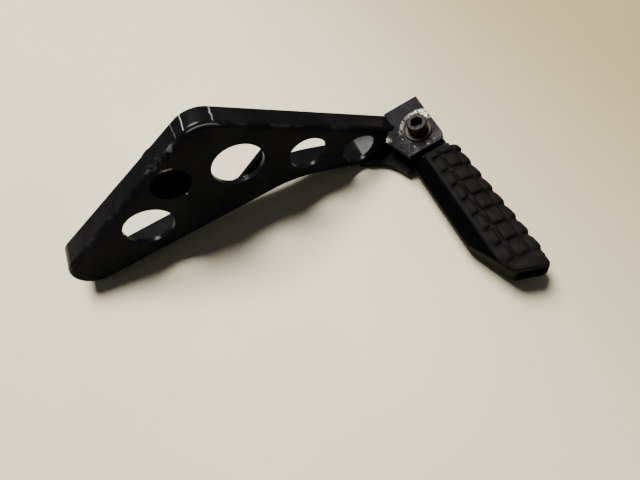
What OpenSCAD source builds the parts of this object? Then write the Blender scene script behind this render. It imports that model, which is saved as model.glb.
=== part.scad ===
// Folding passenger foot peg on a pressed-steel hanger.
// Millimetres. Row frame: origin at the middle of the mounting cup's mouth, on
// the front face of the hanger, +X towards the peg end, +Y to the back of the hanger,
// +Z up from the surface that the part lies on.

/* [View] */
// Which piece to show

/* [Pose] */
// Angle by which the clevis and peg lean when the part lies down
tilt = 9; // [0:0.5:15]

/* [Hanger pressing] */
// Sheet thickness
sheet = 3; // [2.5:0.5:3.5]
// Depth of the lower flange, which is also that of the mounting cup
flange_depth = 20; // [18:1:22]
// Depth of the upper flange
top_depth = 13; // [12:0.5:15]
// Bolt clearance hole radius
bolt_r = 4.25; // [3.25:0.25:4.5]
// Radius of the socket that the mounting cup stands in
cup_r = 10.9; // [10.5:0.1:11.2]
// Wall of the mounting cup
cup_wall = 2; // [1.5:0.5:3]

/* [Clevis] */
// Ear thickness
ear_t = 3.2; // [2.6:0.2:3.2]
// Pivot shank radius
pin_r = 4; // [3.8:0.1:4.2]
// Radial play of the pivot in its bush
play = 0.05; // [0.03:0.01:0.08]

/* [Peg] */
// Spacing of the tread rows
pitch = 10.4; // [10:0.1:10.8]
// Depth of the tread grooves
groove = 2; // [1.5:0.1:2.2]
// Width of the steel core
core_w = 16; // [14:1:16]

/* [Hidden] */
$fn = 64;
e = 0.01;

// Hanger outline corners, anticlockwise seen from the front: x, z, radius.
outline = [[-133.1, -39.8, 14], [55.7, -49.9, 60], [96, -72.5, 10],
           [130, -72.5, 0], [130, -64.9, 0], [30.6, 28.3, 17]];
plate_end = 120.6;
// Round openings in the web: x, z, radius.
holes = [[-27.5, -20.2, 14.4], [0, 0, 10.9], [34.3, -12.8, 14.8],
         [69.4, -34.4, 11.5], [96.9, -55.5, 10.8]];
lug_bolt = [51, -39.8];
cup_floor = 3.5;
socket_weld = 2;

ear_l = 119.1;
ear_rt = 142.4;
ear_front = 22.4;
ear_round = 4.5;
ear_top = -54.5;
ear_bot = -72.5;
gap_hi = ear_top - ear_t;
gap_lo = ear_bot + ear_t;

pivot = [131.6, -10];
tongue_hi = -58.7;
tongue_lo = -68.5;
tongue_r = 9;
bush_r = 5.5;
head_r = 5.8;
head_h = 7.5;
head_seat = 1.5;
head_washer_r = 7.75;
thrust_washer_r = 8;
wave_washer_r = 7.5;
washer_gap = 0.1;
recess_r = 3.2;
recess_depth = 5;

rubber_l = 119.1;
rubber_r = 148.1;
rubber_top = -55.5;
rubber_bot = -74;
rubber_in = -25;
rubber_out = -114;
lip_r = 150.8;
dome_r = 17;
foot_r = 5;
rows = 8;
row_gap = 2;
bar_hi = -61;
bar_lo = -67;
bar_end = -92;
screw_y = [-45, -76];
screw_r = 2.5;
screw_head_r = 4.2;
screw_head_h = 3;
screw_washer_r = 5;
screw_washer_t = 1;
access_r = 5.6;
cx = (rubber_l + rubber_r) / 2;

// ---- outline geometry ----
n = len(outline);
function pt(i) = [outline[(i + n) % n][0], outline[(i + n) % n][1]];
function unit(v) = v / norm(v);
function d1(i) = unit(pt(i) - pt(i - 1));
function d2(i) = unit(pt(i + 1) - pt(i));
function inward(d) = [-d[1], d[0]];
function turn(i) = d1(i)[0] * d2(i)[1] - d1(i)[1] * d2(i)[0];
function convex(i) = turn(i) > 0;
function side(i) = convex(i) ? 1 : -1;
function bend(i) = abs(atan2(turn(i), d1(i) * d2(i)));
function ctr(i) = pt(i) - d1(i) * outline[i][2] * tan(bend(i) / 2)
                + inward(d1(i)) * outline[i][2] * side(i);
function rad(i, inset) = outline[i][2] - side(i) * inset;
function heading(v) = atan2(v[1], v[0]);
function start(i) = heading(-inward(d1(i)) * side(i));
function steps(i) = ceil(bend(i) / 6);
// One rounded corner, or the meeting point of two offset edges.
function corner(i, inset) = outline[i][2] == 0
  ? [pt(i) + (inward(d1(i)) + inward(d2(i))) * inset
     / (1 + inward(d1(i)) * inward(d2(i)))]
  : [for (k = [0 : steps(i)])
     let (a = start(i) + side(i) * bend(i) * k / steps(i))
     ctr(i) + rad(i, inset) * [cos(a), sin(a)]];

module plate2d(inset) polygon([for (i = [0 : n - 1]) each corner(i, inset)]);

// Lean of the whole part on the surface that it lies on.
module lie() rotate([0, -tilt, 0]) children();
// A flat shape in x and z, pushed back from y0 by depth.
module back(y0, depth) translate([0, y0 + depth, 0]) rotate([90, 0, 0]) linear_extrude(depth) children();
// A flat shape in x and y, raised from z0 by height.
module up(z0, height) translate([0, 0, z0]) linear_extrude(height) children();

// What is cut from the back of the upper flange, which is shallower than the
// lower one and meets it round the tip.
module rear_relief() intersection() {
  up(-100, 200) polygon([[-150, flange_depth], [20, top_depth], [150, top_depth], [150, 60], [-150, 60]]);
  back(0, 70) polygon([[-150, -27], [-112, -27], [-110, -36], [55, -44.5], [70, -50],
                       [90, -62], [100, -66], [150, -66], [150, 60], [-150, 60]]);
}

// ---- hanger ----
module hanger_plate() lie() difference() {
  back(0, flange_depth) intersection() {
    plate2d(0);
    translate([plate_end - 300, -100]) square([300, 200]);
  }
  back(sheet, flange_depth) plate2d(sheet);
  for (h = holes) back(-1, sheet + 2) translate([h[0], h[1]]) circle(h[2]);
  rear_relief();
}

module mount_cup() lie() difference() {
  back(0, flange_depth) circle(cup_r);
  back(-1, flange_depth + 1 - cup_floor) circle(cup_r - cup_wall);
  back(0, flange_depth + 1) circle(bolt_r);
}

module cup_weld() lie() difference() {
  intersection() {
    translate([0, sheet + socket_weld, 0]) rotate([90, 0, 0])
      cylinder(r1 = cup_r + 0.4, r2 = cup_r + 2.2, h = socket_weld);
    back(sheet, socket_weld) plate2d(sheet);
  }
  back(0, flange_depth) circle(cup_r);
}

module rear_lug() lie() difference() {
  back(flange_depth - sheet, sheet) intersection() {
    plate2d(sheet);
    polygon([[18, -48.8], [54, -28.8], [58.5, -32], [58.5, -60], [18, -60]]);
  }
  back(0, flange_depth + 1) translate(lug_bolt) circle(bolt_r);
}

module lug_weld() lie() back(flange_depth - sheet - 2, 2) intersection() {
  plate2d(sheet);
  difference() {
    translate([28, -70]) square([28, 36]);
    plate2d(sheet + 2);
  }
}

// ---- clevis ----
module upper_ear2d() difference() {
  union() {
    polygon([[plate_end, -top_depth], [ear_rt, -top_depth], [ear_rt, ear_front - ear_round],
             [ear_rt - ear_round, ear_front], [ear_l, ear_front], [112.6, 5],
             [117, e], [plate_end, e]]);
    translate([ear_rt - ear_round, ear_front - ear_round]) circle(ear_round);
  }
  translate([119, -1.5]) circle(2.2);
}

module lower_ear2d() union() {
  polygon([[plate_end, -top_depth], [ear_rt, -top_depth], [ear_rt, ear_front - ear_round],
           [ear_rt - ear_round, ear_front], [115, ear_front], [112.4, 16.4],
           [110.3, 12.6], [107.2, 8.9], [101.5, 4.9], [93.6, e], [plate_end, e]]);
  translate([ear_rt - ear_round, ear_front - ear_round]) circle(ear_round);
}

module clevis() lie() difference() {
  union() {
    up(gap_hi, ear_t) mirror([0, 1, 0]) upper_ear2d();
    up(ear_bot, ear_t) mirror([0, 1, 0]) lower_ear2d();
    translate([plate_end, 0, gap_lo - 0.5]) cube([ear_rt - plate_end, sheet, gap_hi - gap_lo + 1]);
  }
  translate([pivot[0], pivot[1], ear_top - ear_t - 1]) cylinder(r = pin_r + 0.1, h = ear_t + 2);
  translate([pivot[0], pivot[1], ear_bot - 1]) cylinder(r = pin_r + 0.02, h = ear_t + 2);
}

module clevis_weld() lie() intersection() {
  translate([plate_end, sheet, gap_lo]) cylinder(r = 2.4, h = 8.8);
  translate([plate_end - 5, sheet, gap_lo]) cube([10, 5, 8.8]);
}

// ---- pivot ----
module pivot_screw() lie() translate([pivot[0], pivot[1], 0]) difference() {
  union() {
    translate([0, 0, ear_bot]) cylinder(r = pin_r, h = ear_top + head_seat - ear_bot);
    translate([0, 0, ear_top + head_seat]) cylinder(r = head_r, h = head_h);
  }
  translate([0, 0, ear_top + head_seat + head_h - recess_depth]) cylinder(r = recess_r, h = recess_depth + 1, $fn = 6);
}

module head_washer() lie() translate([pivot[0], pivot[1], ear_top]) difference() {
  cylinder(r = head_washer_r, h = head_seat);
  translate([0, 0, -1]) cylinder(r = pin_r + 0.2, h = head_seat + 2);
}

module thrust_washer() lie() translate([pivot[0], pivot[1], gap_lo]) difference() {
  cylinder(r = thrust_washer_r, h = tongue_lo - gap_lo - washer_gap);
  translate([0, 0, -1]) cylinder(r = pin_r + 0.15, h = 4);
}

module wave_washer() lie() translate([pivot[0], pivot[1], tongue_hi + washer_gap]) difference() {
  cylinder(r = wave_washer_r, h = gap_hi - tongue_hi - washer_gap);
  translate([0, 0, -1]) cylinder(r = pin_r + 0.15, h = 4);
}

// ---- peg core ----
module peg_tongue() lie() difference() {
  up(tongue_lo, tongue_hi - tongue_lo) translate(pivot) union() {
    circle(tongue_r);
    translate([-tongue_r, 0]) square([tongue_r, 9.8]);
    translate([cx - core_w / 2 - pivot[0], rubber_in - pivot[1]]) square([core_w, pivot[1] - rubber_in]);
  }
  translate([pivot[0], pivot[1], tongue_lo - 1]) cylinder(r = bush_r, h = 20);
}

module pivot_bush() lie() translate([pivot[0], pivot[1], tongue_lo]) difference() {
  cylinder(r = bush_r, h = tongue_hi - tongue_lo);
  translate([0, 0, -1]) cylinder(r = pin_r + play, h = 20);
}

module tongue_weld() lie() for (s = [-1, 1]) intersection() {
  translate([cx + s * core_w / 2, rubber_in + 0.9, bar_lo]) cylinder(r = 1.6, h = bar_hi - bar_lo);
  translate([cx + s * (core_w / 2 + 5) - 5, rubber_in, bar_lo]) cube([10, 3, bar_hi - bar_lo]);
}

module peg_bar() lie() difference() {
  translate([cx - core_w / 2, bar_end, bar_lo]) cube([core_w, rubber_in - bar_end, bar_hi - bar_lo]);
  for (y = screw_y) translate([cx, y, bar_lo - 1]) cylinder(r = screw_r + 0.02, h = 6);
}

// ---- tread rubber ----
module section2d(inset) intersection() {
  translate([cx, rubber_top - dome_r]) circle(dome_r - inset);
  union() {
    translate([rubber_l + inset, rubber_bot + foot_r]) square([rubber_r - rubber_l - 2 * inset, 30]);
    translate([rubber_l + foot_r, rubber_bot + inset]) square([rubber_r - rubber_l - 2 * foot_r, 10]);
    for (x = [rubber_l + foot_r, rubber_r - foot_r]) translate([x, rubber_bot + foot_r]) circle(foot_r - inset);
  }
}

module skin(y0, depth, cut, x0) intersection() {
  back(y0, depth) difference() {
    translate([x0, rubber_bot + 9]) square([rubber_r - x0 + 2, 12]);
    section2d(cut);
  }
}

// The tread widens on its far side towards the lips at the outer end.
module flare() intersection() {
  up(rubber_top - 13.5, 13) polygon([[140, -40], [rubber_r - e, -40], [lip_r, -110],
                                     [145.5, rubber_out], [140, rubber_out + 1]]);
  back(rubber_out - 1, 80) translate([cx + 1.6, rubber_top - dome_r]) circle(dome_r + 0.2);
}

module peg_rubber() lie() difference() {
  union() {
    back(rubber_out, rubber_in - rubber_out) section2d(0);
    flare();
  }
  // tread rows
  for (k = [0 : rows - 1]) skin(rubber_in - 6.6 - k * pitch, row_gap, groove, cx - 5.5);
  // lengthwise grooves
  for (x = [cx - 0.4, cx + 6]) translate([x, rubber_out + 9.6, rubber_top - groove - (x - cx) * 0.12])
    cube([1.6, rubber_in - rubber_out, groove + 2]);
  // cut-away outer corner and skewed end
  up(rubber_bot - 1, 30) polygon([[rubber_l - 2, -76], [rubber_l - e, -82], [129.5, -109], [145.5, rubber_out + e],
                                  [lip_r, -110], [lip_r + 1, -120], [rubber_l - 2, -120]]);
  // core socket and open mouth
  translate([cx - core_w / 2, bar_end, bar_lo]) cube([core_w, 100, bar_hi - bar_lo]);
  up(bar_lo, bar_hi - bar_lo) polygon([[126.5, bar_end + e], [132, -120], [160, -120],
                                       [152, -108], [142, -102], [142, bar_end + e]]);
  for (y = screw_y) translate([cx, y, rubber_bot - 1])
    cylinder(r = access_r, h = bar_lo - rubber_bot + 1 + e);
}

module rubber_screws() lie() for (y = screw_y) translate([cx, y, bar_lo - screw_washer_t - screw_head_h]) union() {
  cylinder(r = screw_head_r, h = screw_head_h);
  cylinder(r = screw_r, h = 8.5);
}

module screw_washers() lie() for (y = screw_y) translate([cx, y, bar_lo - screw_washer_t]) difference() {
  cylinder(r = screw_washer_r, h = screw_washer_t);
  translate([0, 0, -1]) cylinder(r = 2.6, h = 3);
}

hanger_plate();
mount_cup();
cup_weld();
rear_lug();
lug_weld();
clevis();
clevis_weld();
pivot_screw();
head_washer();
thrust_washer();
wave_washer();
peg_tongue();
pivot_bush();
tongue_weld();
peg_bar();
peg_rubber();
rubber_screws();
screw_washers();
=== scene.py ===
"""Folding foot peg: painted hanger, worn clevis, oily pivot screw and block-tread rubber."""

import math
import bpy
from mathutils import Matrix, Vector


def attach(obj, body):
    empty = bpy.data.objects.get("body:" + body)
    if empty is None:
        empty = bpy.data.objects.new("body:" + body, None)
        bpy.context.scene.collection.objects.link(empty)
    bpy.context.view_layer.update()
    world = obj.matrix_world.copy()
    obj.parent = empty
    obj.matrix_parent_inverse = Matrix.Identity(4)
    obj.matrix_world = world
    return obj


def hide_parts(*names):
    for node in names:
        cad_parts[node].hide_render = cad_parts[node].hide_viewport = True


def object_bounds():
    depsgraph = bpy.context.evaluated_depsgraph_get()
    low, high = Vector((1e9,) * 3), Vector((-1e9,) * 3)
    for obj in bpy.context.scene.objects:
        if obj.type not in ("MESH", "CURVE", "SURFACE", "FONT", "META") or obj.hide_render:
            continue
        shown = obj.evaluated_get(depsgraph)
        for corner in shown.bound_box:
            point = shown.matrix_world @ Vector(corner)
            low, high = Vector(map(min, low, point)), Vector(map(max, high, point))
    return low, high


bl_info = {
    "name": "Folding Foot Peg",
    "version": (1, 0, 0),
    "blender": (4, 5, 0),
    "location": "View3D > Sidebar > Foot Peg",
    "description": "Builds a folding passenger foot peg on its pressed-steel hanger",
    "category": "Add Mesh",
}

import bmesh
import bpy
from bpy.props import FloatProperty, FloatVectorProperty, IntProperty, PointerProperty
from mathutils import Vector

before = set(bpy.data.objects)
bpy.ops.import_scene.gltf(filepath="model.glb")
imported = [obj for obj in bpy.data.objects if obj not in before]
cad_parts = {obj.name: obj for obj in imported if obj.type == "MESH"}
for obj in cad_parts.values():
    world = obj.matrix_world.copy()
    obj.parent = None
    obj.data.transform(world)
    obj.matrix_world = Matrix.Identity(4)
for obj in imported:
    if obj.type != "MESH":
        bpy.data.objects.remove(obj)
CAD_LOW, CAD_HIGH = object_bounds()

# The part's own frame is leaned over by this angle where it lies on the floor.
LEAN = math.radians(9)
MM = 1000  # millimetres in a metre

# Places and sizes of the pieces, in millimetres along the hanger where nothing else is said:
# x to the peg end, y to the back, z up.
OUTLINE_BEND = 0.0034  # metres
RIM_SOFTENING = 0.00045  # metres
UPPER_FLANGE_RIM = 12.4
CLEVIS_END = 120.3
OPENINGS = (
    (-27.5, -20.2, 14.4), (0.0, 0.0, 10.9), (34.3, -12.8, 14.8), (69.4, -34.4, 11.5), (96.9, -55.5, 10.8))
PIVOT = (131.6, -10.0)

# Wear and painted highlights on the hanger: two edges as a line each (chips on one, a painted sheen on the
# other), the bend round the top corner (a painted highlight), and three creases, each with its place, its
# drift towards the back and its strength.
UPPER_LEFT_EDGE = (-0.3839, 0.9234, 14.4)
UPPER_EDGE = (0.6842, 0.7293, 42.0)
TOP_CORNER, TOP_CORNER_R = (27, 8.4), 15.9
CREASES = ((38.2, -0.05, 0.55), (24.0, -0.09, 0.95), (18.8, 0.03, 0.16))
CUP_RIM_R = 10.9

# The weld round the cup: its ring, bead and number of drops; and the seam down the clevis.
CUP_WELD_R, CUP_WELD_Y, CUP_BEAD, CUP_DROPS = 11.6, 3.55, 1.25, 40
SEAM_TOP, SEAM_STEP, SEAM_BEAD, SEAM_DROPS = (120.6, 3.4, -61.5), 1.1, 1.85, 8
WELD_GRAIN = 0.00035  # metres

# The rubber, seen from the end of the peg: the dome that its blocks stand on, and the body below.
DOME = (133.6, -72.5)
DOME_R = 17.0
RUBBER_LEFT, RUBBER_RIGHT, RUBBER_BOTTOM = 119.2, 146.7, -73.9
RUBBER_END, RUBBER_LENGTH = -114.6, 89.5
# Rows of blocks run outwards from here, in three columns between these angles on the dome.
FIRST_ROW_START, FIRST_ROW_END, SECOND_ROW_START = -25.1, -30.1, -31.4
BLOCK_COLUMNS = ((90.5, 110.0), (57.5, 85.0), (27.0, 52.5))
BLOCK_RISE, CAP_ANGLES, CAP_RISE = (1.3, 2.4), (26.0, 112.0), (1.5, 2.3)
# Cuts across the outer end: a place on each, and which way it faces in x and y.
END_CUTS = (
    ((119.1, -82.0, -60), -0.933, -0.359),
    ((129.5, -109.0, -60), -0.298, -0.954),
    ((145.5, -114.0, -60), 0.602, -0.798),
)
MOUTH = ((129.5, -116), (160, -116), (154, -108.5), (142, -104.5), (133, -106))
MOUTH_Z, MOUTH_HEIGHT = -67.3, 5.6
SOCKET = ((125.6, -61.0), (125.6, -67.0), (141.6, -67.0), (141.6, -61.0))
SOCKET_END, SOCKET_LENGTH = -93, 70
SCREW_RECESSES = (-45, -76)
RECESS_R, RECESS_DEPTH = 0.0056, 0.008  # metres
# Rounding of the outer end: beyond which y, left of which x, and how many times.
END_ROUNDING = ((-79, 130.5, 34), (-97, 160, 14), (-104, 160, 30))

# The stage, in metres; the lens and sensor are in millimetres.
CAMERA_PLACE = (0.04359, -0.17629, 0.19891)
CAMERA_TURN = (27.669, 9.133, -23.493)  # degrees
CAMERA_LENS, CAMERA_SENSOR = 27.826, 36.0
TABLE_SIZE = 6
# Each light's name, place, size, power and colour, and the spot that they face.
LIGHTS = (
    ("window", (-0.09, 0.59, 1.35), 0.78, 54.0, (1.0, 0.965, 0.90)),
    ("ceiling", (0.3, 0.9, 1.5), 1.3, 2.0, (1.0, 0.98, 0.93)),
)
LIGHT_AIM = (0.05, 0, 0)


# ---------------------------------------------------------------- placing


def lean(x, y, z):
    """A place measured along the hanger, in millimetres, put into the row frame."""
    c, s = math.cos(LEAN), math.sin(LEAN)
    return Vector((x * c - z * s, y, x * s + z * c)) / MM


def unlean(p):
    """The same, the other way: row frame metres to millimetres along the hanger."""
    c, s = math.cos(LEAN), math.sin(LEAN)
    return Vector((p.x * c + p.z * s, p.y, -p.x * s + p.z * c)) * MM


# ---------------------------------------------------------------- modelling helpers


def pick_only(obj):
    """Deselects everything else and makes one object the active one."""
    bpy.ops.object.select_all(action="DESELECT")
    obj.select_set(True)
    bpy.context.view_layer.objects.active = obj


def active_object():
    return bpy.context.view_layer.objects.active


def edit(obj, mode="EDGE"):
    """Goes into edit mode with nothing selected."""
    pick_only(obj)
    bpy.ops.object.mode_set(mode="EDIT")
    bpy.ops.mesh.select_mode(type=mode)
    bpy.ops.mesh.select_all(action="DESELECT")


def leave_edit():
    bpy.ops.object.mode_set(mode="OBJECT")


def choose(obj, kind, test):
    """Selects, in edit mode, the faces, edges or vertices for which test is true."""
    bm = bmesh.from_edit_mesh(obj.data)
    for item in getattr(bm, kind):
        if test(item):
            item.select_set(True)
    bmesh.update_edit_mesh(obj.data)


def modifier(obj, kind, **settings):
    """Adds a modifier and applies it."""
    pick_only(obj)
    mod = obj.modifiers.new(kind.title(), kind)
    for key, value in settings.items():
        setattr(mod, key, value)
    bpy.ops.object.modifier_apply(modifier=mod.name)


def copy_of(node, name):
    """A merged copy of a CAD node, with its flat faces made whole."""
    pick_only(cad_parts[node])
    bpy.ops.object.duplicate()
    obj = active_object()
    obj.name = obj.data.name = name
    for key in list(obj.keys()):
        if key.startswith("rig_"):
            del obj[key]
    obj.parent = None
    obj.data.materials.clear()
    edit(obj, "VERT")
    bpy.ops.mesh.select_all(action="SELECT")
    bpy.ops.mesh.remove_doubles(threshold=2e-6)
    bpy.ops.mesh.dissolve_limited(angle_limit=math.radians(0.6))
    bpy.ops.mesh.customdata_custom_splitnormals_clear()
    leave_edit()
    return obj


def soften(obj, width, segments, angle):
    """Rounds every edge that is sharper than an angle, in degrees."""
    modifier(obj, "BEVEL", width=width, segments=segments, limit_method="ANGLE",
             angle_limit=math.radians(angle))


def join(objs, name):
    """Makes several objects one."""
    bpy.ops.object.select_all(action="DESELECT")
    for obj in objs:
        obj.select_set(True)
    bpy.context.view_layer.objects.active = objs[0]
    bpy.ops.object.join()
    obj = active_object()
    obj.name = obj.data.name = name
    return obj


def settle(obj):
    """Puts the place, turn and size of an object into its mesh."""
    pick_only(obj)
    bpy.ops.object.transform_apply(location=True, rotation=True, scale=True)
    edit(obj, "FACE")
    bpy.ops.mesh.select_all(action="SELECT")
    bpy.ops.mesh.normals_make_consistent(inside=False)
    leave_edit()


def finish_piece(obj, body, material, nodes, angle=38, weighted=True):
    """Shades a piece, ties it to its body and hides the nodes it stands for."""
    pick_only(obj)
    obj.data.materials.clear()
    obj.data.materials.append(material)
    bpy.ops.object.shade_smooth_by_angle(angle=math.radians(angle))
    if weighted:
        modifier(obj, "WEIGHTED_NORMAL", keep_sharp=True, weight=60)
    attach(obj, body)
    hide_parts(*nodes)


def trace(points, start, depth, name, plan=False):
    """A prism from an outline in x and z, pushed back from y = start.

    With plan, the outline is in x and y and is raised from z = start.
    """
    bpy.ops.object.select_all(action="DESELECT")
    bpy.ops.mesh.primitive_circle_add(vertices=len(points), radius=0.01, fill_type="NGON")
    obj = active_object()
    obj.name = obj.data.name = name
    for vertex, (a, b) in zip(obj.data.vertices, points):
        vertex.co = lean(a, b, start) if plan else lean(a, start, b)
    push = lean(0, 0, depth) if plan else lean(0, depth, 0)
    edit(obj, "FACE")
    bpy.ops.mesh.select_all(action="SELECT")
    bpy.ops.mesh.extrude_region_move(TRANSFORM_OT_translate={"value": tuple(push)})
    bpy.ops.mesh.select_all(action="SELECT")
    bpy.ops.mesh.normals_make_consistent(inside=False)
    leave_edit()
    return obj


def cut(obj, tool):
    """Takes one closed shape out of another."""
    pick_only(obj)
    mod = obj.modifiers.new("Cut", "BOOLEAN")
    mod.operation, mod.object, mod.solver = "DIFFERENCE", tool, "EXACT"
    bpy.ops.object.modifier_apply(modifier=mod.name)
    bpy.data.objects.remove(tool)


def slice_off(obj, place, normal):
    """Cuts away what lies beyond a plane and closes the cut."""
    edit(obj, "FACE")
    bpy.ops.mesh.select_all(action="SELECT")
    bpy.ops.mesh.bisect(plane_co=place, plane_no=normal, use_fill=True, clear_outer=True)
    leave_edit()


def arc(cx, cz, r, a0, a1, count):
    """Points along an arc, from one angle in degrees to another."""
    return [
        (cx + r * math.cos(math.radians(a0 + (a1 - a0) * k / count)),
         cz + r * math.sin(math.radians(a0 + (a1 - a0) * k / count)))
        for k in range(count + 1)
    ]


# ---------------------------------------------------------------- shader helpers


class Wire:
    """A shader socket that adds Math nodes when it is worked on like a number."""

    def __init__(self, finish, socket):
        self.finish, self.socket = finish, socket

    def _math(self, operation, a, b=0.0, clamp=False):
        settings = {"operation": operation, "use_clamp": clamp}
        node = self.finish.node("ShaderNodeMath", settings, {0: a, 1: b})
        return Wire(self.finish, node.outputs[0])

    def __add__(self, o):
        return self._math("ADD", self, o)

    __radd__ = __add__

    def __sub__(self, o):
        return self._math("SUBTRACT", self, o)

    def __rsub__(self, o):
        return self._math("SUBTRACT", o, self)

    def __mul__(self, o):
        return self._math("MULTIPLY", self, o)

    __rmul__ = __mul__

    def __pow__(self, o):
        return self._math("POWER", self, o)

    def abs(self):
        return self._math("ABSOLUTE", self)

    def most(self, o):
        return self._math("MAXIMUM", self, o)

    def clamp(self):
        return self._math("ADD", self, clamp=True)


class Finish:
    """One material under construction."""

    def __init__(self, name, specular=0.5, coat_roughness=0.1):
        self.material = bpy.data.materials.new(name)
        self.material.use_nodes = True
        self.tree = self.material.node_tree
        self.tree.nodes.clear()
        out = self.node("ShaderNodeOutputMaterial")
        self.skin = self.node("ShaderNodeBsdfPrincipled")
        self.tree.links.new(self.skin.outputs[0], out.inputs["Surface"])
        self.put("Specular IOR Level", specular)
        self.put("Coat Roughness", coat_roughness)
        coords = self.node("ShaderNodeTexCoord")
        # Turned back by the lean, so that patterns run along the hanger and the peg.
        turned = self.node("ShaderNodeMapping", {"vector_type": "POINT"},
                           {"Vector": Wire(self, coords.outputs["Object"]), "Rotation": (0, LEAN, 0),
                            "Scale": (MM, MM, MM)})
        self.place = Wire(self, turned.outputs[0])
        split = self.node("ShaderNodeSeparateXYZ", None, {0: self.place})
        self.x, self.y, self.z = (Wire(self, s) for s in split.outputs)

    def node(self, kind, settings=None, sockets=None):
        """A node with its settings made first, then the values or links of its sockets."""
        made = self.tree.nodes.new(kind)
        for key, value in (settings or {}).items():
            setattr(made, key, value)
        for key, value in (sockets or {}).items():
            self.feed(made, key, value)
        return made

    def feed(self, node, key, value):
        """Links or sets one socket of a node."""
        if isinstance(value, Wire):
            self.tree.links.new(value.socket, node.inputs[key])
        else:
            node.inputs[key].default_value = value

    def put(self, name, value):
        """Links or sets one socket of the surface shader."""
        self.feed(self.skin, name, value)

    def stretch(self, sx, sy, sz, turn=(0, 0, 0)):
        """Places squeezed along each axis, for grain that runs one way."""
        sockets = {"Vector": self.place, "Scale": (sx, sy, sz), "Rotation": turn}
        return Wire(self, self.node("ShaderNodeMapping", None, sockets).outputs[0])

    def noise(self, size, detail=4.0, rough=0.55, distort=0.0, vector=None):
        """Soft noise whose features are about size millimetres."""
        made = self.node("ShaderNodeTexNoise", {"noise_dimensions": "3D"},
                         {"Vector": vector or self.place, "Scale": 1.0 / size, "Detail": detail,
                          "Roughness": rough, "Distortion": distort})
        return Wire(self, made.outputs[0])

    def step(self, value, low, high):
        """0 below low, 1 above high, smooth between; the other way round if low is above high."""
        flip = low > high
        made = self.node("ShaderNodeMapRange", {"interpolation_type": "SMOOTHSTEP"},
                         {"Value": value, "From Min": min(low, high), "From Max": max(low, high),
                          "To Min": 1.0 if flip else 0.0, "To Max": 0.0 if flip else 1.0})
        return Wire(self, made.outputs[0])

    def mix(self, a, b, factor):
        """A colour between a and b."""
        made = self.node("ShaderNodeMix", {"data_type": "RGBA"}, {0: factor})
        for index, value in ((6, a), (7, b)):
            self.feed(made, index, value if isinstance(value, Wire) else (*value, 1.0))
        return Wire(self, made.outputs[2])

    def bump(self, height, distance, strength):
        """A surface normal raised by height, with distance in millimetres."""
        sockets = {"Height": height, "Distance": distance / MM, "Strength": strength}
        return Wire(self, self.node("ShaderNodeBump", None, sockets).outputs[0])

    def side_reach(self, spot, r=0.0):
        """Distance from a spot seen from the front, in x and z, less a radius."""
        return ((self.x - spot[0]) ** 2.0 + (self.z - spot[1]) ** 2.0) ** 0.5 - r

    def top_reach(self, spot, r=0.0):
        """Distance from a spot seen from above, in x and y, less a radius."""
        return ((self.x - spot[0]) ** 2.0 + (self.y - spot[1]) ** 2.0) ** 0.5 - r

    def off_line(self, line):
        """Distance from an edge that runs across x and z."""
        return self.x * line[0] + self.z * line[1] - line[2]


# ---------------------------------------------------------------- finishes


def edge_chips(f):
    """Chips along the upper left edge, and the bare steel in the freshest of them."""
    edge = f.off_line(UPPER_LEFT_EDGE)
    near = f.step(edge.abs(), 4.4, 0.6) * f.step(f.y, 6.5, 1.5) * f.step(f.x, 20, 13)
    fresh = f.step(f.x, -26, 2)
    flake, patch = f.noise(4.2, 4, 0.6, 0.6), f.noise(16, 2)
    chip = f.step(flake, 0.46, 0.62) * near * f.step(patch, 0.42, 0.56) * (0.30 + fresh * 0.7)
    bare = f.step(flake, 0.60, 0.68) * near * f.step(patch, 0.46, 0.6) * fresh
    big_chip = (f.x - 13.2).abs() + edge.abs() + f.noise(1.5, 3) * 1.6
    return chip, bare.most(f.step(big_chip, 3.6, 2.0) * f.step(f.y, 3, 1.5))


def corner_creases_and_bend_highlight(f):
    """Creases across the flange where the sheet shrank round the corner, and a painted highlight: a thin
    light line along its bend.
    """
    wander = f.noise(3.5, 3, 0.6) - 0.5
    top = f.step(f.z, 17, 20) * f.step(f.y, 1.8, 3.4)
    marks = None
    for place, drift, weight in CREASES:
        line = (f.x - place + f.y * drift + wander * 1.6).abs()
        one = f.step(line, 0.44, 0.06) * weight * top
        marks = one if marks is None else marks.most(one)
    broken = f.step(f.noise(2.2, 3, 0.7), 0.34, 0.52)
    # Painted highlight: a thin light line along the bend round the top corner, standing in for its
    # reflection.
    bend = f.side_reach(TOP_CORNER, TOP_CORNER_R).abs()
    worn = f.step(bend, 0.4, 0.05) * f.step(f.x, 24, 27) * f.step(f.x, 47, 36) * f.step(f.z, 17, 19)
    return (marks * (0.45 + broken * 0.55)).most(worn * 0.30)


def bend_sheen_streaks(f):
    """Painted sheen: soft light streaks along the upper bend."""
    across = f.off_line(UPPER_EDGE).abs() + (f.y - 0.8).abs()
    return f.step(across, 2.4, 0.6) * f.step(f.noise(11, 3, 0.6), 0.50, 0.62) * f.step(f.x, 24, 30)


def cup_rim_glints(f):
    """Painted highlights: a glint on the rim of the mounting cup and a bright dot on the web just below it.
    """
    rim = f.side_reach((0, 0), CUP_RIM_R).abs()
    spot = (f.x - 3.5).abs() + (f.z - 10).abs()
    rim_glint = f.step(rim, 1.7, 0.6) * f.step(spot, 4.6, 2.6) * f.step(f.noise(1.2, 3), 0.4, 0.5)
    return rim_glint.most(f.step(f.side_reach((2.3, -11.9)), 0.9, 0.4))


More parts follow.
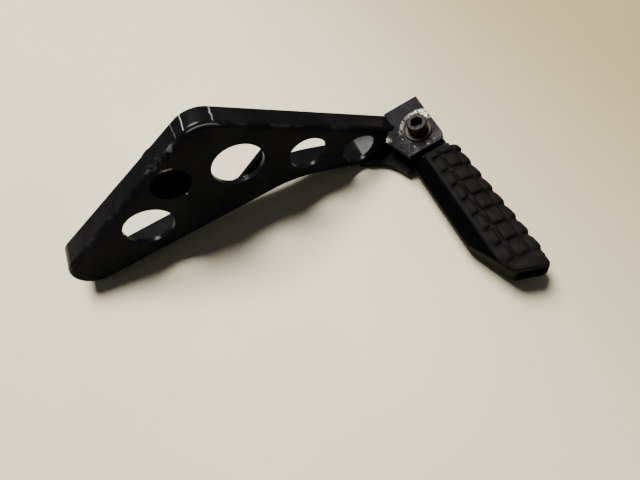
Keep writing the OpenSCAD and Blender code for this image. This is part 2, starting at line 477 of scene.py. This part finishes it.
def gloss_black_paint(looks, name="worn_gloss_black_paint", edge_wear=True):
    """Black paint with a dusty film and specks, the web tinted against bounce light; edge_wear adds the
    hanger's own chips and creases, and painted highlights and sheen along the bends and at the cup rim.
    """
    f = Finish(name, specular=0.006, coat_roughness=0.16)
    film = f.step(f.noise(22, 5, 0.6), 0.42, 0.72)
    specks = f.step(f.noise(0.9, 2, 0.5), 0.74, 0.80)
    flange = f.step(f.y, 0.15, 1.2)
    base = f.mix(looks.paint_colour, (0.0080, 0.0079, 0.0092), film)
    # The web is painted a shade bluer than the flange, to cancel the warm light that the table bounces onto
    # it; both are the same paint.
    web = f.mix((0.0075, 0.0085, 0.0118), (0.0115, 0.0130, 0.0178), film)
    base = f.mix(web, base, flange)
    base = f.mix(base, (0.03, 0.029, 0.029), specks * 0.25)
    rough = 0.24 + film * 0.12 + specks * 0.12
    lumps = f.noise(9, 3, 0.5) * 0.8 + f.noise(1.4, 3, 0.5) * 0.04
    if edge_wear:
        chip, bare = edge_chips(f)
        base = f.mix(base, (0.034, 0.034, 0.042), chip)
        base = f.mix(base, (0.24, 0.23, 0.26), bare * 0.8)
        # The creases are worn paint; the light line along the corner bend is a painted highlight.
        marks = corner_creases_and_bend_highlight(f)
        base = f.mix(base, (0.62, 0.61, 0.58), marks * 0.85)
        # Painted sheen: light streaks along the upper bend.
        base = f.mix(base, (0.07, 0.068, 0.072), bend_sheen_streaks(f) * 0.7)
        # Painted highlights: a glint on the cup rim and a bright dot below it.
        base = f.mix(base, (0.42, 0.39, 0.36), cup_rim_glints(f) * 0.75)
        rough = rough + chip * 0.14 + marks * 0.25
        lumps = lumps - chip * 0.35 + marks * 0.9
        f.put("Metallic", bare * 0.7)
        # The flange and the bend keep their shine; the web is dull with grime.
        f.put("Coat Weight", flange * (0.20 + film * 0.15))
    f.put("Base Color", base)
    f.put("Roughness", rough.clamp())
    f.put("Normal", f.bump(lumps, 0.22, 0.55))
    return f.material


def cup_black_with_painted_shade():
    """Black paint inside the mounting cup, much darker and duller than the hanger's paint as painted shade
    for the recess, with dusty patches.
    """
    f = Finish("sooty_black_paint", specular=0.0)
    grime = f.noise(3, 4, 0.6)
    dull, dusty = (0.0006, 0.0006, 0.0007), (0.0022, 0.0020, 0.0019)
    f.put("Base Color", f.mix(dull, dusty, f.step(grime, 0.5, 0.75)))
    f.put("Roughness", 0.55 + grime * 0.2)
    f.put("Normal", f.bump(grime, 0.1, 0.4))
    return f.material


def painted_weld(looks):
    """Paint over a weld, with the steel showing through its pits."""
    f = Finish("painted_weld", specular=0.35)
    pits = f.noise(0.9, 4, 0.65)
    f.put("Base Color", f.mix(looks.paint_colour, (0.05, 0.042, 0.035), f.step(pits, 0.5, 0.75)))
    f.put("Roughness", 0.34 + pits * 0.3)
    f.put("Normal", f.bump(pits, 0.25, 0.6))
    return f.material


def polished_patches(f):
    """Steel rubbed bright: a crescent behind the washer, broad at the free edge, small spots and a corner."""
    crescent = f.step(f.top_reach((134.5, -9.5), 12.4).abs(), 1.7, 0.6) * f.step(f.y, -8, -3)
    crescent = crescent * (0.4 + f.step(f.x, 130, 138) * 0.6)
    broad = f.step(f.top_reach((141.8, -1.5)), 5.0, 2.8)
    spots = f.step(f.noise(1.7, 2, 0.5), 0.66, 0.72) * f.step(f.y, -8, -11)
    corner = f.step(f.top_reach((113.6, -5.2)), 3.4, 1.2)
    torn = f.step(f.noise(1.7, 5, 0.75), 0.42, 0.58)
    return (crescent.most(broad) * torn).most(spots * 0.8).most(corner * 0.8)


def worn_ear_steel(looks):
    """Thin dark paint over steel, with polished scuffs, greasy patches and a painted shadow in front of the
    pivot head; full paint at the hanger end and below.
    """
    f = Finish("worn_greasy_steel", specular=0.04)
    cloud = f.noise(5.5, 5, 0.62, 0.4)
    fine = f.noise(0.55, 4, 0.75)
    brush = f.noise(1, 3, 0.6, vector=f.stretch(0.25, 2.4, 2.4, (0, 0, 0.35)))
    # Only the top ear is worn; everything under it keeps its paint.
    top_ear = f.step(f.z, -56.2, -55.0)
    steel = f.mix(looks.steel_colour, (0.018, 0.0162, 0.0215), f.step(cloud, 0.36, 0.66))
    steel = f.mix(steel, (0.052, 0.048, 0.060), f.step(fine, 0.56, 0.74) * f.step(f.y, -2, 6) * 0.8)
    bright = polished_patches(f) * top_ear
    steel = f.mix(steel, (0.60, 0.56, 0.50), bright * 0.9)
    front = f.step(f.noise(4.2, 4, 0.6, 0.8), 0.46, 0.60) * f.step(f.y, -9, -13)
    steel = f.mix(steel, (0.06, 0.058, 0.060), front * (1 - bright) * 0.7)
    # Painted shadow: darkening just in front of the pivot head and washer where its shadow falls, mixed into
    # the greasy patches.
    under = f.step(f.top_reach((128.5, -15.5)), 5.0, 2.5)
    grease_and_pin_shadow = f.step(f.noise(2.6, 5, 0.7, 1.2) + under * 0.3, 0.50, 0.63) * (1 - bright * 0.85)
    steel = f.mix(steel, (0.0045, 0.0038, 0.0036), grease_and_pin_shadow * 0.8)
    rust = f.step(f.top_reach(PIVOT), 9.6, 7.8) * f.step(fine, 0.44, 0.62)
    steel = f.mix(steel, (0.10, 0.05, 0.025), rust * 0.6 * top_ear)
    # Tongues of paint still on at the hanger end.
    tongue_edge = f.x + f.noise(3.5, 5, 0.7) * 9.0 - f.y * 0.15
    tongue = f.step(tongue_edge, 127.5, 125.0) * f.step(f.noise(1.8, 3), 0.38, 0.52)
    kept = (1 - top_ear).most(tongue * 0.85)
    paint = f.mix(looks.paint_colour, (0.0035, 0.0034, 0.0040), fine)
    f.put("Base Color", f.mix(steel, paint, kept))
    f.put("Metallic", ((1 - kept) * bright * 0.6).clamp())
    f.put("Roughness", (0.42 + cloud * 0.16 + grease_and_pin_shadow * 0.04 - bright * 0.06).clamp())
    f.put("Normal", f.bump(cloud * 0.9 + fine * 0.35 + brush * 0.25 + kept * 0.5, 0.20, 0.75))
    return f.material


def oily_steel(name, dark, warm, bright, rough, shine):
    """Handled steel with oil, blooms of rust and a few bright clouds."""
    f = Finish(name, specular=0.2)
    cloud = f.noise(2.4, 5, 0.65)
    fine = f.noise(0.35, 3, 0.6)
    rust = f.step(f.noise(1.6, 5, 0.7, 0.5), 0.5, 0.66)
    base = f.mix(dark, warm, rust * 0.8)
    base = f.mix(base, (bright, bright * 0.97, bright * 0.92), f.step(cloud, 0.60, 0.8) * 0.5)
    f.put("Base Color", base)
    f.put("Metallic", (shine - rust * 0.3).clamp())
    f.put("Roughness", (rough + rust * 0.25 + fine * 0.08).clamp())
    f.put("Normal", f.bump(cloud * 0.5 + fine * 0.4, 0.08, 0.5))
    return f.material


def turned_steel(name, colour, rough):
    """Plain metal with a fine turned grain and stains."""
    f = Finish(name)
    grain = f.noise(1, 3, 0.6, vector=f.stretch(0.4, 0.4, 5.0))
    stain = f.step(f.noise(3.0, 4, 0.6), 0.45, 0.7)
    f.put("Base Color", f.mix(colour, tuple(v * 0.45 for v in colour), stain * 0.7))
    f.put("Metallic", 0.9 - stain * 0.25)
    f.put("Roughness", (rough + stain * 0.15 + grain * 0.1).clamp())
    f.put("Normal", f.bump(grain, 0.04, 0.5))
    return f.material


def tread_rubber(looks):
    """Black rubber, greyer on the crowns of its blocks from dust and a painted sheen, with dirt in its
    grooves.
    """
    f = Finish("black_tread_rubber", specular=0.015)
    dust = f.step(f.noise(6.0, 5, 0.65), 0.40, 0.72)
    grain = f.noise(0.45, 4, 0.6)
    high = f.side_reach(DOME)
    # The crowns are painted lighter: partly dust, partly a painted sheen where the block tops face the light.
    crown = f.step(high, 15.0, 16.4) * f.step(f.x, 126.0, 127.8)
    base = f.mix(looks.rubber_colour, (0.0145, 0.0138, 0.0142), (dust * 0.3 + 0.6) * crown)
    dirt = f.step(high, 15.8, 15.0) * f.step(f.z, -68, -64) * f.step(f.noise(2.5, 4), 0.32, 0.55)
    base = f.mix(base, (0.016, 0.0145, 0.0135), dirt * 0.75)
    f.put("Base Color", base)
    f.put("Roughness", (0.47 + grain * 0.12 + dust * 0.12 - crown * 0.05).clamp())
    f.put("Normal", f.bump(grain * 0.5 + f.noise(2.2, 4, 0.6) * 0.6, 0.12, 0.5))
    return f.material


def table_top(looks):
    """Pale worn table with a painted light falloff: warmer and darker far to the right."""
    f = Finish("pale_table_top", specular=0.4)
    wash = f.step(f.noise(160, 4, 0.55), 0.35, 0.7)
    fleck = f.step(f.noise(2.0, 3, 0.6), 0.70, 0.76) * f.step(f.noise(40, 3), 0.5, 0.62)
    base = f.mix(looks.table_colour, tuple(v * 0.93 for v in looks.table_colour), wash)
    # Painted light falloff: the floor turns warmer and darker towards the right.
    warm = tuple(v * k for v, k in zip(looks.table_colour, (0.56, 0.48, 0.34)))
    base = f.mix(base, warm, f.step(f.x + f.y * 0.15, 50, 300))
    base = f.mix(base, (0.38, 0.34, 0.27), fleck * 0.35)
    f.put("Base Color", base)
    f.put("Roughness", 0.42 + wash * 0.12)
    f.put("Normal", f.bump(f.noise(9, 4, 0.6), 0.12, 0.25))
    return f.material


# ---------------------------------------------------------------- settings


class FootPegLooks(bpy.types.PropertyGroup):
    paint_colour: FloatVectorProperty(
        name="Paint", description="Colour of the hanger's paint", subtype="COLOR",
        default=(0.0050, 0.0049, 0.0058), min=0, max=1)
    steel_colour: FloatVectorProperty(
        name="Bare steel", description="Colour of the clevis where its paint is gone", subtype="COLOR",
        default=(0.0085, 0.0078, 0.0095), min=0, max=1)
    rubber_colour: FloatVectorProperty(
        name="Rubber", description="Colour of the tread rubber", subtype="COLOR",
        default=(0.0012, 0.0012, 0.0015), min=0, max=1)
    table_colour: FloatVectorProperty(
        name="Table", description="Colour of the floor", subtype="COLOR",
        default=(0.86, 0.785, 0.57), min=0, max=1)


class FootPegSizes(bpy.types.PropertyGroup):
    bend_radius: FloatProperty(
        name="Bend radius", description="Rounding of the hanger's outer bend",
        subtype="DISTANCE", unit="LENGTH", default=OUTLINE_BEND, min=0.001, max=0.004)
    rubber_grain: FloatProperty(
        name="Rubber detail", description="Smallest detail kept in the moulded rubber",
        subtype="DISTANCE", unit="LENGTH", default=0.00045, min=0.0003, max=0.001)
    tread_rows: IntProperty(
        name="Tread rows", description="Rows of blocks before the cap", default=8, min=4, max=8)
    row_pitch: FloatProperty(
        name="Row pitch", description="Spacing of the tread rows",
        subtype="DISTANCE", unit="LENGTH", default=0.0104, min=0.008, max=0.012)


def looks():
    return bpy.context.scene.foot_peg_looks


def sizes():
    return bpy.context.scene.foot_peg_sizes


# ---------------------------------------------------------------- pieces


def at_opening(p):
    """Whether a place is on the edge of one of the hanger's round openings."""
    return any(abs(math.hypot(p.x - x, p.z - z) - r) < 0.35 for x, z, r in OPENINGS)


class FOOTPEG_OT_hanger(bpy.types.Operator):
    """Pressed hanger with a rolled outer bend and softened opening edges"""

    bl_idname = "footpeg.hanger"
    bl_label = "Hanger Pressing"

    def execute(self, context):
        obj = copy_of("hanger_plate", "hanger_pressing")

        def square(e):
            return len(e.link_faces) == 2 and e.calc_face_angle(0) >= 0.8

        def outer_bend(e):
            a, b = (unlean(v.co) for v in e.verts)
            flat = abs(a.y) < 0.05 and abs(b.y) < 0.05
            at_clevis = a.x > CLEVIS_END and b.x > CLEVIS_END
            return flat and square(e) and not at_opening(a) and not at_clevis

        def rim(e):
            a, b = (unlean(v.co) for v in e.verts)
            round_opening = at_opening(a) and at_opening(b)
            flange_rim = a.y > UPPER_FLANGE_RIM and b.y > UPPER_FLANGE_RIM
            return square(e) and (round_opening or flange_rim)

        for test, offset, segments in ((outer_bend, sizes().bend_radius, 5), (rim, RIM_SOFTENING, 2)):
            edit(obj)
            choose(obj, "edges", test)
            bpy.ops.mesh.bevel(offset=offset, segments=segments, profile=0.5, clamp_overlap=True)
            leave_edit()
        finish_piece(obj, "hanger", gloss_black_paint(looks()), ["hanger_plate"], 35)
        return {"FINISHED"}


class FOOTPEG_OT_mounting(bpy.types.Operator):
    """Mounting cup and rear lug, with softened edges"""

    bl_idname = "footpeg.mounting"
    bl_label = "Mounting Cup and Lug"

    def execute(self, context):
        lug = gloss_black_paint(looks(), "lug_paint", False)
        # The cup takes a paint darkened as painted shade for its recess.
        cup_shade_paint = cup_black_with_painted_shade()
        for node, name, slot, width, paint in (
            ("mount_cup", "mounting_cup", "cup_paint", 0.0006, cup_shade_paint),
            ("rear_lug", "rear_mounting_lug", "gloss_black_paint", 0.0005, lug),
        ):
            obj = copy_of(node, name)
            soften(obj, width, 3, 40)
            finish_piece(obj, "hanger", paint, [node], 40)
        return {"FINISHED"}


class FOOTPEG_OT_welds(bpy.types.Operator):
    """Rippled weld beads round the cup and down the clevis"""

    bl_idname = "footpeg.welds"
    bl_label = "Weld Beads"

    def bead(self, name, path, radius, flat):
        """Overlapping drops of weld laid along a path, fused into one bead."""
        drops = []
        for index, place in enumerate(path):
            bpy.ops.object.select_all(action="DESELECT")
            bpy.ops.mesh.primitive_uv_sphere_add(
                segments=12, ring_count=8, radius=radius / MM, location=lean(*place))
            drop = active_object()
            swell = 1 + 0.12 * math.sin(index * 2.3)
            drop.scale = (swell * flat[0], swell * flat[1], swell * flat[2])
            bpy.ops.object.transform_apply(location=True, rotation=True, scale=True)
            drops.append(drop)
        obj = join(drops, name)
        modifier(obj, "REMESH", mode="VOXEL", voxel_size=WELD_GRAIN)
        modifier(obj, "SMOOTH", factor=0.5, iterations=2)
        return obj

    def execute(self, context):
        paint = painted_weld(looks())
        turns = [2 * math.pi * k / CUP_DROPS for k in range(CUP_DROPS)]
        ring = [(CUP_WELD_R * math.cos(a), CUP_WELD_Y, CUP_WELD_R * math.sin(a)) for a in turns]
        cup = self.bead("cup_weld_bead", ring, CUP_BEAD, (1, 1, 1))
        x, y, top = SEAM_TOP
        seam = [(x, y, top - SEAM_STEP * k) for k in range(SEAM_DROPS)]
        clevis = self.bead("clevis_weld_bead", seam, SEAM_BEAD, (1, 0.9, 0.8))
        for obj, node in ((cup, "cup_weld"), (clevis, "clevis_weld")):
            finish_piece(obj, "hanger", paint, [node], 60, False)
        return {"FINISHED"}


class FOOTPEG_OT_clevis(bpy.types.Operator):
    """Clevis ears with worn, rounded edges"""

    bl_idname = "footpeg.clevis"
    bl_label = "Clevis"

    def execute(self, context):
        obj = copy_of("clevis", "worn_clevis")
        soften(obj, 0.0005, 3, 40)
        finish_piece(obj, "hanger", worn_ear_steel(looks()), ["clevis"], 40)
        return {"FINISHED"}


class FOOTPEG_OT_pivot(bpy.types.Operator):
    """Pivot screw with a rounded barrel head, and the washer under it"""

    bl_idname = "footpeg.pivot"
    bl_label = "Pivot Screw"

    def execute(self, context):
        dark = oily_steel(
            "oily_dark_steel", (0.0045, 0.0038, 0.0036), (0.013, 0.0075, 0.005), 0.012, 0.40, 0.25)
        rusty = oily_steel(
            "rusty_greasy_steel", (0.030, 0.025, 0.022), (0.060, 0.030, 0.015), 0.14, 0.42, 0.5)
        for node, name, slot, width, finish in (
            ("pivot_screw", "pivot_screw_barrel", "dark_steel", 0.0008, dark),
            ("head_washer", "rusty_head_washer", "rusty_steel", 0.0005, rusty),
        ):
            obj = copy_of(node, name)
            soften(obj, width, 4, 50)
            finish_piece(obj, "hanger", finish, [node], 40)
        return {"FINISHED"}


class FOOTPEG_OT_rubber(bpy.types.Operator):
    """Moulded tread rubber: domed body, raised blocks, cap row and open mouth"""

    bl_idname = "footpeg.rubber"
    bl_label = "Tread Rubber"

    def widen(self, x, y):
        """How far the far side of the tread has moved out at this place along the peg."""
        return max(0.0, (x - DOME[0]) / 14.5) * max(0.0, -40 - y) * 0.036

    def block(self, angles, y_in, y_out, rises):
        """One raised block on the dome, between two angles and two rows, higher at its outer end."""
        bpy.ops.object.select_all(action="DESELECT")
        bpy.ops.mesh.primitive_cube_add(size=2, location=(0, 0, 0))
        obj = active_object()
        edit(obj)
        bpy.ops.mesh.select_all(action="SELECT")
        bpy.ops.mesh.subdivide(number_cuts=7)
        leave_edit()
        a0, a1 = angles
        rise_in, rise_out = rises
        for vertex in obj.data.vertices:
            u, v, w = vertex.co
            t = (v + 1) / 2
            crown = 1 - 0.38 * abs(u) ** 3 - 0.42 * abs(v) ** 4
            rise = (rise_in + (rise_out - rise_in) * t) * crown
            radius = DOME_R - 3.2 + (w + 1) / 2 * (1.2 + rise)
            angle = math.radians((a0 + a1) / 2 + (a1 - a0) / 2 * u)
            x = DOME[0] + radius * math.cos(angle)
            z = DOME[1] + radius * math.sin(angle)
            y = y_in + (y_out - y_in) * t
            x = min(x, 148.0) + self.widen(x, y)
            vertex.co = lean(x, y, z)
        return obj

    def body(self):
        """The moulding under the blocks: full dome on the left, groove floor on the tread and right."""
        right, bottom = RUBBER_RIGHT, RUBBER_BOTTOM
        points = arc(RUBBER_LEFT + 5, bottom + 5, 5, 180, 270, 8)
        points += arc(right - 3.6, bottom + 5, 5, 270, 360, 8)
        points = [(min(x, right + 1.3), z) for x, z in points]
        points += [(right + 1.3, -68.2), (right, -66.6)]
        points += arc(*DOME, DOME_R - 2.0, 31.0, 107, 22)
        points += arc(*DOME, DOME_R - 0.05, 110, 148.2, 12)
        obj = trace(points, RUBBER_END, RUBBER_LENGTH, "tread_rubber")
        for vertex in obj.data.vertices:
            p = unlean(vertex.co)
            vertex.co = lean(p.x + self.widen(p.x, p.y), p.y, p.z)
        return obj

    def blocks(self, rows, pitch):
        """Every block of the tread, and the cap across its outer end."""
        made = []
        for row in range(rows):
            y_in = FIRST_ROW_START if row == 0 else SECOND_ROW_START - (row - 1) * pitch
            y_out = FIRST_ROW_END - row * pitch
            for angles in BLOCK_COLUMNS:
                made.append(self.block(angles, y_in, y_out, BLOCK_RISE))
        y_cap = SECOND_ROW_START - (rows - 1) * pitch
        made.append(self.block(CAP_ANGLES, y_cap, RUBBER_END, CAP_RISE))
        for piece in made:
            settle(piece)
        return made

    def fuse(self, obj, iterations):
        """Fuses all that overlaps into one skin and smooths it."""
        modifier(obj, "REMESH", mode="VOXEL", voxel_size=sizes().rubber_grain)
        modifier(obj, "SMOOTH", factor=0.5, iterations=iterations)

    def hollow(self, obj):
        """Cuts the skewed end, the open mouth, the bar's socket and the recesses for the screws."""
        for place, nx, ny in END_CUTS:
            slice_off(obj, lean(*place), (nx * math.cos(LEAN), ny, nx * math.sin(LEAN)))
        cut(obj, trace(MOUTH, MOUTH_Z, MOUTH_HEIGHT, "mouth", True))
        cut(obj, trace(SOCKET, SOCKET_END, SOCKET_LENGTH, "socket"))
        for y in SCREW_RECESSES:
            bpy.ops.object.select_all(action="DESELECT")
            bpy.ops.mesh.primitive_cylinder_add(
                vertices=40, radius=RECESS_R, depth=RECESS_DEPTH, location=lean(DOME[0], y, -71),
                rotation=(0, -LEAN, 0))
            cut(obj, active_object())

    def execute(self, context):
        size = sizes()
        body = self.body()
        obj = join([body, *self.blocks(size.tread_rows, size.row_pitch * MM)], "tread_rubber")
        self.fuse(obj, 7)
        self.hollow(obj)
        self.fuse(obj, 6)
        for limit, edge, repeat in END_ROUNDING:
            edit(obj, "VERT")
            choose(obj, "verts", lambda v: v.co.y * MM < limit and unlean(v.co).x < edge)
            bpy.ops.mesh.vertices_smooth(factor=0.5, repeat=repeat)
            leave_edit()
        finish_piece(obj, "peg", tread_rubber(looks()), ["peg_rubber"], 60, False)
        return {"FINISHED"}


class FOOTPEG_OT_plain_parts(bpy.types.Operator):
    """Finishes for the core, bush, washers and small screws, whose shapes are already right"""

    bl_idname = "footpeg.plain_parts"
    bl_label = "Core and Small Parts"

    def execute(self, context):
        core = turned_steel("dull_core_steel", (0.012, 0.011, 0.010), 0.55)
        washer = turned_steel("plain_washer_steel", (0.42, 0.42, 0.42), 0.3)
        bronze = turned_steel("oiled_bush_bronze", (0.50, 0.34, 0.15), 0.3)
        zinc = turned_steel("zinc_plated_steel", (0.56, 0.56, 0.55), 0.28)
        weld = painted_weld(looks())
        for finish, nodes in (
            (core, ("peg_tongue", "peg_bar", "tongue_weld")),
            (washer, ("thrust_washer", "wave_washer")),
            (bronze, ("pivot_bush",)),
            (zinc, ("rubber_screws", "screw_washers")),
            (weld, ("lug_weld",)),
        ):
            for node in nodes:
                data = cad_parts[node].data
                data.materials.clear()
                data.materials.append(finish)
        return {"FINISHED"}


class FOOTPEG_OT_stage(bpy.types.Operator):
    """Pale table, soft light from behind on the left, and the camera"""

    bl_idname = "footpeg.stage"
    bl_label = "Table, Light and Camera"

    def area(self, name, place, size, power, colour):
        """One round soft light."""
        light = bpy.data.lights.new(name, "AREA")
        light.shape, light.size, light.energy, light.color = "DISK", size, power, colour
        obj = bpy.data.objects.new(name, light)
        bpy.context.scene.collection.objects.link(obj)
        obj.location = place
        obj.rotation_euler = (Vector(LIGHT_AIM) - Vector(place)).to_track_quat("-Z", "Y").to_euler()

    def execute(self, context):
        bpy.ops.object.select_all(action="DESELECT")
        bpy.ops.mesh.primitive_plane_add(size=TABLE_SIZE, location=(0.05, 0, CAD_LOW.z))
        floor = active_object()
        floor.name = floor.data.name = "table"
        bpy.ops.object.transform_apply(location=True, rotation=True, scale=True)
        floor.data.materials.append(table_top(looks()))
        world = bpy.data.worlds.new("room")
        context.scene.world = world
        world.use_nodes = True
        background = world.node_tree.nodes["Background"]
        background.inputs["Color"].default_value = (0.93, 0.95, 1.0, 1)
        background.inputs["Strength"].default_value = 0.07
        for light in LIGHTS:
            self.area(*light)
        camera = bpy.data.cameras.new("camera")
        camera.lens, camera.sensor_width = CAMERA_LENS, CAMERA_SENSOR
        camera.clip_start, camera.clip_end = 0.01, 20
        obj = bpy.data.objects.new("camera", camera)
        context.scene.collection.objects.link(obj)
        obj.location = CAMERA_PLACE
        obj.rotation_euler = tuple(math.radians(a) for a in CAMERA_TURN)
        context.scene.camera = obj
        return {"FINISHED"}


class FOOTPEG_PT_panel(bpy.types.Panel):
    """Foot peg pieces and settings"""

    bl_label = "Foot Peg"
    bl_idname = "FOOTPEG_PT_panel"
    bl_space_type = "VIEW_3D"
    bl_region_type = "UI"
    bl_category = "Foot Peg"

    def draw(self, context):
        column = self.layout.column()
        for operator in OPERATORS:
            column.operator(operator.bl_idname)
        for group in (context.scene.foot_peg_sizes, context.scene.foot_peg_looks):
            for key in group.__annotations__:
                column.prop(group, key)


OPERATORS = (
    FOOTPEG_OT_stage,
    FOOTPEG_OT_hanger,
    FOOTPEG_OT_mounting,
    FOOTPEG_OT_welds,
    FOOTPEG_OT_clevis,
    FOOTPEG_OT_pivot,
    FOOTPEG_OT_rubber,
    FOOTPEG_OT_plain_parts,
)
CLASSES = (FootPegLooks, FootPegSizes, *OPERATORS, FOOTPEG_PT_panel)


def register():
    for cls in CLASSES:
        bpy.utils.register_class(cls)
    bpy.types.Scene.foot_peg_looks = PointerProperty(type=FootPegLooks)
    bpy.types.Scene.foot_peg_sizes = PointerProperty(type=FootPegSizes)


def unregister():
    del bpy.types.Scene.foot_peg_sizes
    del bpy.types.Scene.foot_peg_looks
    for cls in reversed(CLASSES):
        bpy.utils.unregister_class(cls)


def main():
    register()
    for operator in OPERATORS:
        group, name = operator.bl_idname.split(".")
        getattr(getattr(bpy.ops, group), name)()


if __name__ == "__main__":
    main()
